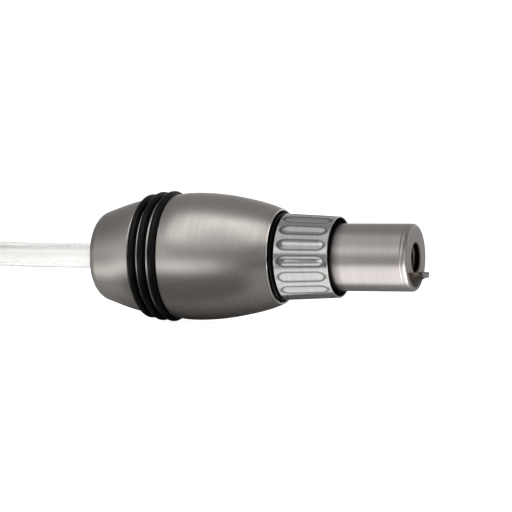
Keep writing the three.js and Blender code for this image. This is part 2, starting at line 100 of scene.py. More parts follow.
def scaled_coordinates(tree, scale):
    """Object coordinates in metres, scaled along each axis."""
    coordinates = tree.nodes.new("ShaderNodeTexCoord")
    mapping = tree.nodes.new("ShaderNodeMapping")
    mapping.inputs["Scale"].default_value = scale
    tree.links.new(coordinates.outputs["Object"], mapping.inputs["Vector"])
    return mapping.outputs["Vector"]


def noise(tree, scale, detail=4.0, roughness=0.55):
    node = tree.nodes.new("ShaderNodeTexNoise")
    node.inputs["Scale"].default_value = 1.0
    node.inputs["Detail"].default_value = detail
    node.inputs["Roughness"].default_value = roughness
    tree.links.new(scaled_coordinates(tree, scale), node.inputs["Vector"])
    return node.outputs["Fac"]


def map_range(tree, value, from_low, from_high, to_low, to_high):
    node = tree.nodes.new("ShaderNodeMapRange")
    node.inputs["From Min"].default_value = from_low
    node.inputs["From Max"].default_value = from_high
    node.inputs["To Min"].default_value = to_low
    node.inputs["To Max"].default_value = to_high
    tree.links.new(value, node.inputs["Value"])
    return node.outputs["Result"]


def mix_colour(tree, factor, low, high):
    node = tree.nodes.new("ShaderNodeMix")
    node.data_type = "RGBA"
    for socket, colour in ((node.inputs[6], low), (node.inputs[7], high)):
        if isinstance(colour, tuple):
            socket.default_value = (*colour, 1.0)
        else:
            tree.links.new(colour, socket)
    tree.links.new(factor, node.inputs[0])
    return node.outputs[2]


def mix_value(tree, factor, low, high):
    """Between two roughnesses, where either may be a number or a socket."""
    node = tree.nodes.new("ShaderNodeMix")
    for socket, value in ((node.inputs[2], low), (node.inputs[3], high)):
        if isinstance(value, float):
            socket.default_value = value
        else:
            tree.links.new(value, socket)
    tree.links.new(factor, node.inputs[0])
    return node.outputs[0]


def math_node(tree, operation, first, second):
    """A sum, product or the like of two values, where either may be a number or a socket."""
    node = tree.nodes.new("ShaderNodeMath")
    node.operation = operation
    for socket, value in zip(node.inputs, (first, second)):
        if isinstance(value, (int, float)):
            socket.default_value = value
        else:
            tree.links.new(value, socket)
    return node.outputs[0]


def vector_node(tree, operation, first, second=None):
    """The same for vectors, where the second may be a vector, a socket or nothing."""
    node = tree.nodes.new("ShaderNodeVectorMath")
    node.operation = operation
    tree.links.new(first, node.inputs[0])
    if isinstance(second, bpy.types.NodeSocket):
        tree.links.new(second, node.inputs[1])
    elif second is not None:
        node.inputs[1].default_value = second
    return node.outputs["Value" if operation in ("LENGTH", "DOT_PRODUCT") else "Vector"]


def bump(tree, shader, height, distance):
    node = tree.nodes.new("ShaderNodeBump")
    node.inputs["Distance"].default_value = distance
    node.inputs["Strength"].default_value = 1.0
    tree.links.new(height, node.inputs["Height"])
    tree.links.new(node.outputs["Normal"], shader.inputs["Normal"])


def object_coordinate(tree, axis):
    coordinates = tree.nodes.new("ShaderNodeTexCoord")
    split = tree.nodes.new("ShaderNodeSeparateXYZ")
    tree.links.new(coordinates.outputs["Object"], split.inputs["Vector"])
    return split.outputs[axis]


def along_axis(tree, start, end):
    """0 before one station and 1 after another, on the handpiece."""
    return map_range(tree, object_coordinate(tree, "X"), on_axis(start).x, on_axis(end).x, 0.0, 1.0)


def from_axis(tree, inner, outer):
    """0 inside one radius and 1 outside another, in millimetres from the handpiece's axis."""
    coordinates = tree.nodes.new("ShaderNodeTexCoord")
    offset = vector_node(tree, "SUBTRACT", coordinates.outputs["Object"], on_axis(0))
    flat = vector_node(tree, "MULTIPLY", offset, (0.0, 1.0, 1.0))
    return map_range(tree, vector_node(tree, "LENGTH", flat), inner * MM, outer * MM, 0.0, 1.0)


def turned_metal(name, dark, light, roughness, anisotropic, groove, streak=4200.0, finish=None):
    """Lathe-turned metal: fine marks run round the X axis, over slow patches of tone.

    finish takes the node tree, the colour and the roughness, and gives them back changed in places.
    """
    material, tree, shader = new_material(name)
    shader.inputs["Metallic"].default_value = 1.0
    shader.inputs["Anisotropic"].default_value = anisotropic
    marks = noise(tree, (streak, 70.0, 70.0), detail=3.0)
    patches = noise(tree, (90.0, 90.0, 90.0), detail=5.0)
    tone = math_node(
        tree, "ADD", map_range(tree, marks, 0.3, 0.7, 0.0, 0.65),
        map_range(tree, patches, 0.35, 0.65, 0.0, 0.35))
    colour = mix_colour(tree, tone, dark, light)
    rough = map_range(tree, tone, 0.0, 1.0, roughness + 0.05, roughness - 0.05)
    if finish:
        colour, rough = finish(tree, colour, rough)
    tree.links.new(colour, shader.inputs["Base Color"])
    tree.links.new(rough, shader.inputs["Roughness"])
    tangent = tree.nodes.new("ShaderNodeTangent")
    tangent.direction_type = "RADIAL"
    tangent.axis = "X"
    tree.links.new(tangent.outputs["Tangent"], shader.inputs["Tangent"])
    bump(tree, shader, marks, groove)
    return material


def rubber_material(name):
    material, tree, shader = new_material(name)
    bloom = noise(tree, (350.0, 350.0, 350.0), detail=6.0)
    grain = noise(tree, (5200.0, 5200.0, 5200.0), detail=2.0)
    colour = mix_colour(tree, bloom, (0.002, 0.0016, 0.0015), (0.006, 0.005, 0.0045))
    tree.links.new(colour, shader.inputs["Base Color"])
    tree.links.new(map_range(tree, bloom, 0.3, 0.7, 0.3, 0.42), shader.inputs["Roughness"])
    shader.inputs["Specular IOR Level"].default_value = 0.15
    bump(tree, shader, grain, 0.02 * MM)
    return material


# The painted shade line's lower and upper edge, as heights above the axis, and the station it starts
# at.
LINE_LOWER_EDGE = (1.7, 2.1)
LINE_UPPER_EDGE = (2.7, 2.35)
LINE_STARTS = (-34.0, -30.0)
LINE_SHADE_GREY = (0.62, 0.60, 0.57)


def above_axis(tree, start, end):
    """0 at one height above the axis and 1 at another, in millimetres."""
    height = object_coordinate(tree, "Z")
    return map_range(tree, height, AXIS_Z + start * MM, AXIS_Z + end * MM, 0.0, 1.0)


def painted_shade_line(tree, colour):
    """A thin grey line of painted shade along the straight stretch of hose, a little below its top.
    """
    line = math_node(
        tree, "MULTIPLY", above_axis(tree, *LINE_LOWER_EDGE), above_axis(tree, *LINE_UPPER_EDGE))
    line = math_node(tree, "MULTIPLY", line, along_axis(tree, *LINE_STARTS))
    return mix_colour(tree, line, colour, LINE_SHADE_GREY)


def hose_material(name):
    """Clear, slightly milky soft plastic with faint wipe marks, and a thin grey line of painted
    shade.
    """
    material, tree, shader = new_material(name)
    clouds = noise(tree, (60.0, 60.0, 60.0), detail=4.0)
    wipes = noise(tree, (220.0, 1500.0, 1500.0), detail=3.0)
    colour = mix_colour(tree, clouds, (0.94, 0.94, 0.93), (0.99, 0.99, 0.98))
    # The base colour carries a thin grey line of painted shade.
    tree.links.new(painted_shade_line(tree, colour), shader.inputs["Base Color"])
    tree.links.new(map_range(tree, wipes, 0.3, 0.7, 0.08, 0.16), shader.inputs["Roughness"])
    shader.inputs["Transmission Weight"].default_value = 0.85
    shader.inputs["IOR"].default_value = 1.45
    bump(tree, shader, wipes, 0.005 * MM)
    return material


def strap_material(name):
    """Woven hook-and-loop strap: two crossed waves make the weave."""
    material, tree, shader = new_material(name)
    weave = tree.nodes.new("ShaderNodeTexWave")
    weave.inputs["Scale"].default_value = 1.0
    tree.links.new(scaled_coordinates(tree, (700.0, 0.0, 0.0)), weave.inputs["Vector"])
    cross = tree.nodes.new("ShaderNodeTexWave")
    cross.bands_direction = "DIAGONAL"
    cross.inputs["Scale"].default_value = 1.0
    tree.links.new(scaled_coordinates(tree, (0.0, 700.0, 700.0)), cross.inputs["Vector"])
    height = math_node(tree, "MAXIMUM", weave.outputs["Fac"], cross.outputs["Fac"])
    colour = mix_colour(tree, height, (0.008, 0.008, 0.009), (0.035, 0.035, 0.038))
    tree.links.new(colour, shader.inputs["Base Color"])
    shader.inputs["Roughness"].default_value = 0.85
    shader.inputs["Sheen Weight"].default_value = 0.3
    bump(tree, shader, height, 0.15 * MM)
    return material


# Where a finish, painted shade or painted highlight changes: pairs of stations, or pairs of radii
# from the axis.
RIM_TURNS_BRIGHT = (46.45, 46.6)
INSIDE_GUIDE = (3.45, 3.5)
THREAD_CREST = (3.42, 3.5)
THREAD_ROOT = (3.66, 3.74)
NOSE_SHADE_FADES = (61.0, 64.0)
BEAK_STARTS = (80.04, 80.12)
BEAK_SHADE_ENDS = (82.5, 82.2)
# Near white: rubbed metal, with a painted highlight along the rim.
RIM_RUBBED_AND_HIGHLIGHT = (0.92, 0.90, 0.88)
# Black painted shade inside the nose's bore.
BORE_SHADE_BLACK = (0.015, 0.012, 0.010)
# Brown painted dim light on the bore's outer threads and chamfered mouth.
BORE_DIM_LIGHT_BROWN = (0.16, 0.12, 0.09)
# Painted shade on the nose inside and just in front of the collar.
COLLAR_MOUTH_SHADE = (0.10, 0.09, 0.085)
# Dark brown painted shade on the beak's hollow sides.
BEAK_SHADE = (0.10, 0.078, 0.062)
# Painted shade along the collar's flute edges.
FLUTE_EDGE_SHADE_COLOUR = (0.05, 0.042, 0.035)


def polished_and_highlit_rim(tree, colour, rough):
    """The body's front rim is rubbed bright, and painted near white as a highlight line."""
    # Painted highlight: a thin near-white band round the rim.
    rim = along_axis(tree, *RIM_TURNS_BRIGHT)
    return mix_colour(tree, rim, colour, RIM_RUBBED_AND_HIGHLIGHT), mix_value(tree, rim, rough, 0.16)


def bore_shade(tree, colour, rough):
    """Painted shade: black where a part lies inside the bore."""
    outside = from_axis(tree, *INSIDE_GUIDE)
    return mix_colour(tree, outside, BORE_SHADE_BLACK, colour), mix_value(tree, outside, 0.5, rough)


def nose_shade(tree, colour, rough):
    """Painted shade on the bore, the beak's hollow sides and the nose inside and in front of the
    collar; painted dim light brown in the bore.
    """
    outside = from_axis(tree, *THREAD_ROOT)
    # Black painted shade in the bore, brown painted dim light on its outer threads and mouth.
    bore = mix_colour(tree, from_axis(tree, *THREAD_CREST), BORE_SHADE_BLACK, BORE_DIM_LIGHT_BROWN)
    # Painted shade on the nose inside and just in front of the collar.
    shaded = mix_colour(tree, along_axis(tree, *NOSE_SHADE_FADES), COLLAR_MOUTH_SHADE, colour)
    # Painted shade on the beak's hollow sides.
    beak_side = math_node(
        tree, "MULTIPLY", along_axis(tree, *BEAK_STARTS), along_axis(tree, *BEAK_SHADE_ENDS))
    shaded = mix_colour(tree, beak_side, shaded, BEAK_SHADE)
    return mix_colour(tree, outside, bore, shaded), mix_value(tree, outside, 0.45, rough)


def shaded_flute_edges(tree, colour, rough):
    """Painted shade along the flutes' edges, as the collar's mesh marks it."""
    flute_edge_shade = tree.nodes.new("ShaderNodeAttribute")
    flute_edge_shade.attribute_name = "flute_edge_shade"
    edge_shade = flute_edge_shade.outputs["Fac"]
    return mix_colour(tree, edge_shade, colour, FLUTE_EDGE_SHADE_COLOUR), mix_value(tree, edge_shade, rough, 0.5)


BODY_STEEL = turned_metal(
    "body_steel", (0.44, 0.41, 0.385), (0.53, 0.495, 0.47), 0.35, 0.2, 0.0012 * MM,
    finish=polished_and_highlit_rim)
NOSE_STEEL = turned_metal(
    "nose_steel", (0.52, 0.485, 0.47), (0.60, 0.56, 0.545), 0.34, 0.2, 0.0012 * MM,
    finish=nose_shade)
BRIGHT_STEEL = turned_metal(
    "bright_steel", (0.58, 0.575, 0.565), (0.69, 0.685, 0.675), 0.17, 0.26, 0.003 * MM,
    finish=shaded_flute_edges)
HARD_STEEL = turned_metal(
    "hard_steel", (0.45, 0.45, 0.455), (0.62, 0.62, 0.625), 0.26, 0.3, 0.004 * MM, finish=bore_shade)
BLACK_STEEL = turned_metal(
    "black_steel", (0.012, 0.012, 0.013), (0.03, 0.03, 0.032), 0.42, 0.2, 0.004 * MM)
BRASS = turned_metal(
    "brass", (0.50, 0.36, 0.16), (0.72, 0.54, 0.27), 0.28, 0.3, 0.006 * MM)
BRONZE = turned_metal(
    "sintered_bronze", (0.30, 0.19, 0.10), (0.48, 0.32, 0.18), 0.6, 0.0, 0.05 * MM, streak=1500.0)
RUBBER = rubber_material("rubber")
HOSE = hose_material("hose")
STRAP = strap_material("strap")

SLOT_MATERIALS = {
    "body_steel": BODY_STEEL, "nose_steel": NOSE_STEEL, "bright_steel": BRIGHT_STEEL,
    "hard_steel": HARD_STEEL, "black_steel": BLACK_STEEL, "brass": BRASS,
    "sintered_bronze": BRONZE, "rubber": RUBBER, "hose": HOSE, "strap": STRAP,
}

# Every CAD node that stays gets its slot's material.
for part in frame["record"]["subparts"]:
    node = frame["nodes"][part["node"]]
    node.data.materials.clear()
    node.data.materials.append(SLOT_MATERIALS[part["material_slot"]])

# ---- Mesh helpers. A profile is a list of (station, radius) in millimetres. ----


def smooth_through(points, steps):
    """Points on a centripetal Catmull-Rom curve through the given ones."""
    ends = [points[0] * 2 - points[1], *points, points[-1] * 2 - points[-2]]
    result = []
    for i in range(len(points) - 1):
        p0, p1, p2, p3 = ends[i:i + 4]
        t1 = (p1 - p0).length ** 0.5
        t2 = t1 + (p2 - p1).length ** 0.5
        t3 = t2 + (p3 - p2).length ** 0.5
        for step in range(steps):
            t = t1 + (t2 - t1) * step / steps
            a1 = p0 * ((t1 - t) / t1) + p1 * (t / t1)
            a2 = p1 * ((t2 - t) / (t2 - t1)) + p2 * ((t - t1) / (t2 - t1))
            a3 = p2 * ((t3 - t) / (t3 - t2)) + p3 * ((t - t2) / (t3 - t2))
            b1 = a1 * ((t2 - t) / t2) + a2 * (t / t2)
            b2 = a2 * ((t3 - t) / (t3 - t1)) + a3 * ((t - t1) / (t3 - t1))
            result.append(b1 * ((t2 - t) / (t2 - t1)) + b2 * ((t - t1) / (t2 - t1)))
    result.append(points[-1].copy())
    return result


def add_object(name, data, slot, body, *nodes):
    """Put a finished mesh or curve in the scene, riding on a body in place of its CAD nodes."""
    piece = bpy.data.objects.new(name, data)
    bpy.context.scene.collection.objects.link(piece)
    data.materials.append(SLOT_MATERIALS[slot])
    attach(piece, body)
    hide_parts(*nodes)
    return piece


def mesh_from(edit, name):
    """The edit mesh as a mesh of its own."""
    mesh = bpy.data.meshes.new(name)
    edit.to_mesh(mesh)
    edit.free()
    return mesh


def solid_from(edit, name):
    """The same for a closed body, with its faces turned outwards."""
    bmesh.ops.recalc_face_normals(edit, faces=edit.faces)
    return mesh_from(edit, name)


def spline_2d(points, steps):
    """Points on a smooth curve through a list of (station, radius)."""
    return [
        (point.x, point.y)
        for point in smooth_through([Vector((*place, 0.0)) for place in points], steps)
    ]


SMOOTH_TURN = math.radians(25)
LONGEST_REACH = 0.4                   # of the side that a rounded corner eats into
FENCE = 1.25                          # times the reach: a point that keeps the side flat


def softened(profile, radius, closed=True, steps=4):
    """Round every real corner of a profile, and fence the arc so that the flats stay flat."""
    result = []
    count = len(profile)
    for i, here in enumerate(profile):
        at_end = not closed and i in (0, count - 1)
        before = Vector(profile[i - 1]) - Vector(here)
        after = Vector(profile[(i + 1) % count]) - Vector(here)
        if at_end or before.angle(-after) < SMOOTH_TURN:
            result.append(here)
            continue
        half_turn = before.angle(after) / 2
        shorter_side = min(before.length, after.length)
        reach = min(radius / math.tan(half_turn), shorter_side * LONGEST_REACH)
        arc_radius = reach * math.tan(half_turn)
        toward_before = before.normalized()
        toward_after = after.normalized()
        corner = Vector(here)
        middle = corner + (toward_before + toward_after).normalized() * (
            arc_radius / math.sin(half_turn))
        first = corner + toward_before * reach
        last = corner + toward_after * reach
        result.append(tuple(corner + toward_before * reach * FENCE))
        sweep = math.pi - 2 * half_turn
        arm = first - middle
        turn = 1 if arm.cross(last - middle) > 0 else -1
        for step in range(steps + 1):
            angle = turn * sweep * step / steps
            result.append((
                middle.x + arm.x * math.cos(angle) - arm.y * math.sin(angle),
                middle.y + arm.x * math.sin(angle) + arm.y * math.cos(angle),
            ))
        result.append(tuple(corner + toward_after * reach * FENCE))
    return result


def turned_mesh(name, profile, sides=144, shape=None, place=on_axis):
    """Spin a profile round the axis. Angle 0 is the -Y side and 90 degrees is straight up.

    shape turns (station, radius, angle) into the radius there; place turns a station and an
    offset from the axis into a point.
    """
    edit = bmesh.new()
    rings = []
    for station, radius in profile:
        if radius == 0:
            rings.append([edit.verts.new(place(station))])
            continue
        ring = []
        for i in range(sides):
            angle = 2 * math.pi * i / sides
            r = shape(station, radius, angle) if shape else radius
            ring.append(edit.verts.new(place(station, -r * math.cos(angle), r * math.sin(angle))))
        rings.append(ring)
    pairs = list(zip(rings, rings[1:]))
    if len(rings[0]) > 1:
        pairs.append((rings[-1], rings[0]))
    for one, other in pairs:
        for i in range(sides):
            j = (i + 1) % sides
            corners = list(dict.fromkeys([
                one[i % len(one)], one[j % len(one)], other[j % len(other)], other[i % len(other)],
            ]))
            if len(corners) > 2:
                edit.faces.new(corners)
    mesh = solid_from(edit, name)
    mesh.shade_smooth()
    return mesh


def circle_profile(station, radius, cord_radius, steps=28):
    """The section of a round rubber ring."""
    return [
        (
            station + cord_radius * math.sin(2 * math.pi * i / steps),
            radius + cord_radius * math.cos(2 * math.pi * i / steps),
        )
        for i in range(steps)
    ]


def evaluated_mesh(piece):
    """The piece's mesh with its modifiers applied."""
    graph = bpy.context.evaluated_depsgraph_get()
    return bpy.data.meshes.new_from_object(piece.evaluated_get(graph))


def combined(base, other, operation):
    """Boolean of two meshes, as a new mesh."""
    base_piece = bpy.data.objects.new("base", base)
    other_piece = bpy.data.objects.new("other", other)
    for piece in (base_piece, other_piece):
        bpy.context.scene.collection.objects.link(piece)
    cut = base_piece.modifiers.new("combine", "BOOLEAN")
    cut.operation = operation
    cut.object = other_piece
    cut.solver = "EXACT"
    result = evaluated_mesh(base_piece)
    for piece in (base_piece, other_piece):
        bpy.data.objects.remove(piece)
    return result


def prism(name, outline, low, high, place):
    """Extrude an outline of (u, v) from low to high; place turns (u, v, w) into a point."""
    edit = bmesh.new()
    bottom = [edit.verts.new(place(u, v, low)) for u, v in outline]
    top = [edit.verts.new(place(u, v, high)) for u, v in outline]
    edit.faces.new(bottom)
    edit.faces.new(top)
    for i in range(len(outline)):
        j = (i + 1) % len(outline)
        edit.faces.new([bottom[i], bottom[j], top[j], top[i]])
    return solid_from(edit, name)


# ---- The body: two shells with the grip rings over their seam. ----

# Points on the two smooth outlines, front and rear of the grip rings.
BULB_OUTLINE = [
    (19.75, 14.93), (22.6, 15.3), (25.7, 15.39), (28.8, 15.26), (31.9, 14.98),
    (35.1, 14.53), (38.2, 13.93), (41.2, 13.25), (44.3, 12.34), (46.7, 11.4),
]
CAP_OUTLINE = [
    (0.25, 9.55), (0.9, 10.25), (1.8, 10.8), (2.8, 11.15), (4.4, 11.72),
    (6.8, 12.52), (9.45, 13.28), (11.95, 13.8),
]
REAR_FACE_RADIUS = 8.6
REAR_SHELL_END = 19.6
SPIGOT_RADIUS = 10.7
SEAM_STATION = 12.95
CHAMBER_RADIUS = 4.6
HOSE_HOLE_RADIUS = 3.3
RIM_BORE_RADIUS = 11.0
GRIP_CORD_RADIUS = 0.95
GROOVE_HALF_WIDTH = 1.15
GROOVE_DEPTH_BELOW_RING = 1.25
GROOVE_LANDS = [14.16, 14.56]
# Each grip ring's node, its station and the radius of its cord's middle.
GRIP_RINGS = [
    ("grip_ring_rear", 13.1, 14.08),
    ("grip_ring_middle", 15.8, 14.66),
    ("grip_ring_front", 18.6, 14.86),
]
SHELL_EDGE = 0.08


def rear_shell():
    """The cap, its spigot under the grip rings, and the chamber that the hose comes into."""
    groove_floor = GRIP_RINGS[0][2] - GROOVE_DEPTH_BELOW_RING
    rear_edge = [
        (0.0, 8.2), (0.0, REAR_FACE_RADIUS), (0.04, 9.0), (0.13, 9.3),
        *spline_2d(CAP_OUTLINE, 5),
    ]
    inside = softened([
        (CAP_OUTLINE[-1][0], groove_floor), (SEAM_STATION, groove_floor),
        (SEAM_STATION, SPIGOT_RADIUS), (REAR_SHELL_END, SPIGOT_RADIUS), (REAR_SHELL_END, 7.0),
        (17.4, 6.1), (9.0, 6.1), (9.0, CHAMBER_RADIUS), (2.1, CHAMBER_RADIUS),
        (2.1, HOSE_HOLE_RADIUS), (0.25, HOSE_HOLE_RADIUS), (0.0, HOSE_HOLE_RADIUS + 0.25),
    ], SHELL_EDGE, closed=False)
    return turned_mesh("rear_shell", rear_edge + inside)


def front_shell():
    """The bulb: grip ring grooves with narrow lands, the outline, the front rim and the inside."""
    outside = []
    for (_, station, radius), land in zip(GRIP_RINGS, [None, *GROOVE_LANDS]):
        floor_radius = radius - GROOVE_DEPTH_BELOW_RING
        if land is None:
            outside.append((13.25, floor_radius))
        else:
            outside.append((station - GROOVE_HALF_WIDTH, land))
            outside.append((station - GROOVE_HALF_WIDTH, floor_radius))
        outside.append((station + GROOVE_HALF_WIDTH, floor_radius))
        if station < GRIP_RINGS[-1][1]:
            next_land = GROOVE_LANDS[0 if land is None else 1]
            outside.append((station + GROOVE_HALF_WIDTH, next_land))
    grooves = softened([*outside, BULB_OUTLINE[0], BULB_OUTLINE[1]], SHELL_EDGE, closed=False)[:-1]
    bulb = spline_2d(BULB_OUTLINE, 6)
    inside = softened([
        BULB_OUTLINE[-2], BULB_OUTLINE[-1], (46.7, RIM_BORE_RADIUS), (46.2, 10.9), (38.5, 10.9),
        (38.5, 8.6), (21.2, 8.6), (21.2, 11.0), (13.25, 11.0),
    ], 0.14, closed=False)[1:]
    bulb = [place for place in bulb if grooves[-1][0] < place[0] < inside[0][0]]
    return turned_mesh("front_shell", grooves + bulb + inside)


add_object("rear_cap_shell", rear_shell(), "body_steel", "housing", "rear_shell")
add_object("bulb_shell", front_shell(), "body_steel", "housing", "front_shell")
for ring_name, station, radius in GRIP_RINGS:
    ring_mesh = turned_mesh(ring_name, circle_profile(station, radius, GRIP_CORD_RADIUS))
    add_object(ring_name + "_rubber", ring_mesh, "rubber", "housing", ring_name)
COLLAR_RING_STATION = 46.9
COLLAR_RING_RADIUS = 10.1
COLLAR_RING_CORD_RADIUS = 0.45
collar_ring_profile = circle_profile(
    COLLAR_RING_STATION, COLLAR_RING_RADIUS, COLLAR_RING_CORD_RADIUS, steps=20)
collar_ring_mesh = turned_mesh("collar_ring", collar_ring_profile)
add_object("collar_ring_rubber", collar_ring_mesh, "rubber", "housing", "collar_ring")

# ---- The setting collar: 16 long shallow flutes, cut into a slightly tapered ring. ----

COLLAR_START = 47.9
COLLAR_END = 61.2
COLLAR_REAR_RADIUS = 10.35
COLLAR_FRONT_RADIUS = 9.7
FLUTE_COUNT = 16
COLUMNS_PER_FLUTE = 30
FLUTE_LENGTH = 11.5
FLUTE_RUN_OUT = 2.0
FLUTE_DEPTH = 0.35
FLUTE_SHARE_OF_PITCH = 0.64
FLUTE_FIRST_ANGLE = math.radians(-4.9)
FLUTE_EDGE_SOFTNESS = 0.05
# How dark and how wide the painted shade along each flute's edge is.
EDGE_SHADE_STRENGTH = 0.8
EDGE_SHADE_HALF_WIDTH = 0.2
collar_middle = (COLLAR_START + COLLAR_END) / 2
collar_mean_radius = (COLLAR_REAR_RADIUS + COLLAR_FRONT_RADIUS) / 2
flute_pitch = 2 * math.pi / FLUTE_COUNT
flute_half_width = collar_mean_radius * flute_pitch * FLUTE_SHARE_OF_PITCH / 2
flute_half_straight = FLUTE_LENGTH / 2 - FLUTE_RUN_OUT
run_out_squeeze = flute_half_width / FLUTE_RUN_OUT
cutter_radius = (flute_half_width ** 2 + FLUTE_DEPTH ** 2) / (2 * FLUTE_DEPTH)


def from_flute_middle(angle, along):
    """How far a point is from the middle line of its flute; a run-out counts as a round end."""
    across = collar_mean_radius * ((angle + flute_pitch / 2) % flute_pitch - flute_pitch / 2)
    past_straight = max(abs(along) - flute_half_straight, 0.0) * run_out_squeeze
    return math.hypot(across, past_straight)


def fluted_radius(station, radius, angle):
    """The collar's radius where a round-nosed cutter has passed; the bore is left alone."""
    if radius < COLLAR_FRONT_RADIUS - 0.02:
        return radius
    distance = min(from_flute_middle(angle, station - collar_middle), cutter_radius)
    cut = math.sqrt(cutter_radius ** 2 - distance ** 2) - (cutter_radius - FLUTE_DEPTH)
    return radius - (cut + math.hypot(cut, FLUTE_EDGE_SOFTNESS)) / 2


def collar_outside_radius(station):
    share = (station - COLLAR_START) / (COLLAR_END - COLLAR_START)
    return COLLAR_REAR_RADIUS + (COLLAR_FRONT_RADIUS - COLLAR_REAR_RADIUS) * share


def fluted_collar():
    reaches = [flute_half_straight * share for share in (0.0, 0.2, 0.4, 0.6, 0.8, 0.92)]
    end_rows = 12
    for i in range(end_rows + 1):
        reaches.append(flute_half_straight + FLUTE_RUN_OUT * math.sin(math.pi / 2 * i / end_rows))
    reaches.append(reaches[-1] + 0.06)
    stations = [collar_middle - reach for reach in reversed(reaches)]
    stations += [collar_middle + reach for reach in reaches[1:]]
    outside = [(station, collar_outside_radius(station)) for station in stations]
    front = softened([
        outside[-1], (COLLAR_END - 0.02, collar_outside_radius(COLLAR_END)),
        (COLLAR_END, 9.35), (57.1, 9.35), (57.1, 8.95), (51.9, 8.95), (51.9, 9.5),
        (COLLAR_START, 9.5), (COLLAR_START, COLLAR_REAR_RADIUS), outside[0],
    ], 0.12, closed=False)
    mesh = turned_mesh(
        "adjusting_collar", outside + front[1:-1], FLUTE_COUNT * COLUMNS_PER_FLUTE, fluted_radius)
    mesh.transform(
        Matrix.Translation(on_axis(0))
        @ Matrix.Rotation(FLUTE_FIRST_ANGLE, 4, "X").inverted()
        @ Matrix.Translation(-on_axis(0)))
    paint_flute_edge_shade(mesh)
    return mesh


def paint_flute_edge_shade(mesh):
    """Mark a thin line of painted shade along the edge of each flute."""
    flute_edge_shade = mesh.attributes.new("flute_edge_shade", "FLOAT", "POINT")
    for vertex, mark in zip(mesh.vertices, flute_edge_shade.data):
        offset = vertex.co - on_axis(collar_middle)
        if math.hypot(offset.y, offset.z) / MM < COLLAR_FRONT_RADIUS - 0.4:
            continue
        angle = math.atan2(offset.z, -offset.y) - FLUTE_FIRST_ANGLE
        outside_edge = from_flute_middle(angle, offset.x / MM) - flute_half_width
        mark.value = EDGE_SHADE_STRENGTH * math.exp(-(outside_edge / EDGE_SHADE_HALF_WIDTH) ** 2)


add_object("fluted_collar", fluted_collar(), "bright_steel", "collar", "adjusting_collar")

# ---- The nose: a round tube with a threaded bore, and a beak under the bore. ----

NOSE_RADIUS = 8.05
NOSE_START = 44.7
NOSE_END = 80.0
NOSE_EDGE = 0.8
NOSE_LINE_STATION = 78.6
NOSE_LINE_DEPTH = 0.1
TOOL_BORE_RADIUS = 3.4
BEAK_LENGTH = 3.0
BEAK_TIP_HALF_WIDTH = 1.0
BEAK_TIP_RADIUS = 4.7
LEDGE_HEIGHT = -3.43
THREAD_PITCH = 1.0
THREAD_FRONT = 79.0
THREAD_TURNS = 4
THREAD_DEPTH = 0.3


def nose_tube():
    corner = (NOSE_END - NOSE_EDGE, NOSE_RADIUS - NOSE_EDGE)
    steps = 8
    edge = [
        (corner[0] + NOSE_EDGE * math.sin(math.pi / 2 * i / steps),
         corner[1] + NOSE_EDGE * math.cos(math.pi / 2 * i / steps))
        for i in range(steps + 1)
    ]
    thread = []
    for i in range(THREAD_TURNS):
        crest = THREAD_FRONT - i * THREAD_PITCH
        thread += [(crest + 0.08, TOOL_BORE_RADIUS), (crest - 0.08, TOOL_BORE_RADIUS)]
        thread += [(crest - 0.45, TOOL_BORE_RADIUS + THREAD_DEPTH),
                   (crest - 0.55, TOOL_BORE_RADIUS + THREAD_DEPTH)]
    profile = [
        (NOSE_START, 7.75), (NOSE_START + 0.3, NOSE_RADIUS), (NOSE_START + 0.4, NOSE_RADIUS),
        (NOSE_LINE_STATION - 0.3, NOSE_RADIUS), (NOSE_LINE_STATION - 0.14, NOSE_RADIUS),
        (NOSE_LINE_STATION - 0.09, NOSE_RADIUS - 0.02),
        (NOSE_LINE_STATION, NOSE_RADIUS - NOSE_LINE_DEPTH),
        (NOSE_LINE_STATION + 0.09, NOSE_RADIUS - 0.02),
        (NOSE_LINE_STATION + 0.14, NOSE_RADIUS), (NOSE_LINE_STATION + 0.3, NOSE_RADIUS),
        (NOSE_END - NOSE_EDGE - 0.1, NOSE_RADIUS), *edge,
        (NOSE_END, NOSE_RADIUS - NOSE_EDGE - 0.1), (NOSE_END, TOOL_BORE_RADIUS + 0.4),
        (NOSE_END, TOOL_BORE_RADIUS + 0.3), (NOSE_END - 0.3, TOOL_BORE_RADIUS), *thread,
        (67.7, TOOL_BORE_RADIUS), (67.7, 5.0), (NOSE_START, 5.0),
    ]
    return turned_mesh("nose", profile, 160)


def beak():
    """What is left, below the ledge and inside a pointed plan, of a concave turned flare."""
    ledge_half_width = math.sqrt(NOSE_RADIUS ** 2 - TOOL_BORE_RADIUS ** 2)
    root = NOSE_END - 0.6
    tip = NOSE_END + BEAK_LENGTH
    plan = [
        (root, -ledge_half_width), (NOSE_END, -ledge_half_width), (tip, -BEAK_TIP_HALF_WIDTH),
        (tip, BEAK_TIP_HALF_WIDTH), (NOSE_END, ledge_half_width), (root, ledge_half_width),
    ]
    plan_solid = prism("plan", plan, -NOSE_RADIUS, LEDGE_HEIGHT, on_axis)
    start = Vector((NOSE_END, NOSE_RADIUS - NOSE_EDGE - 0.02))
    pull = Vector((NOSE_END + 0.3 * BEAK_LENGTH, BEAK_TIP_RADIUS + 0.2))
    finish = Vector((tip, BEAK_TIP_RADIUS))
    steps = 16
    curve = [
        tuple(start * (1 - t) ** 2 + pull * 2 * t * (1 - t) + finish * t * t)
        for t in (i / steps for i in range(steps + 1))
    ]
    flare = turned_mesh("flare", [
        (root - 0.1, 0), (root - 0.1, start.y), *curve, (tip + 0.1, BEAK_TIP_RADIUS), (tip + 0.1, 0),
    ], 160)
    return combined(plan_solid, flare, "INTERSECT")


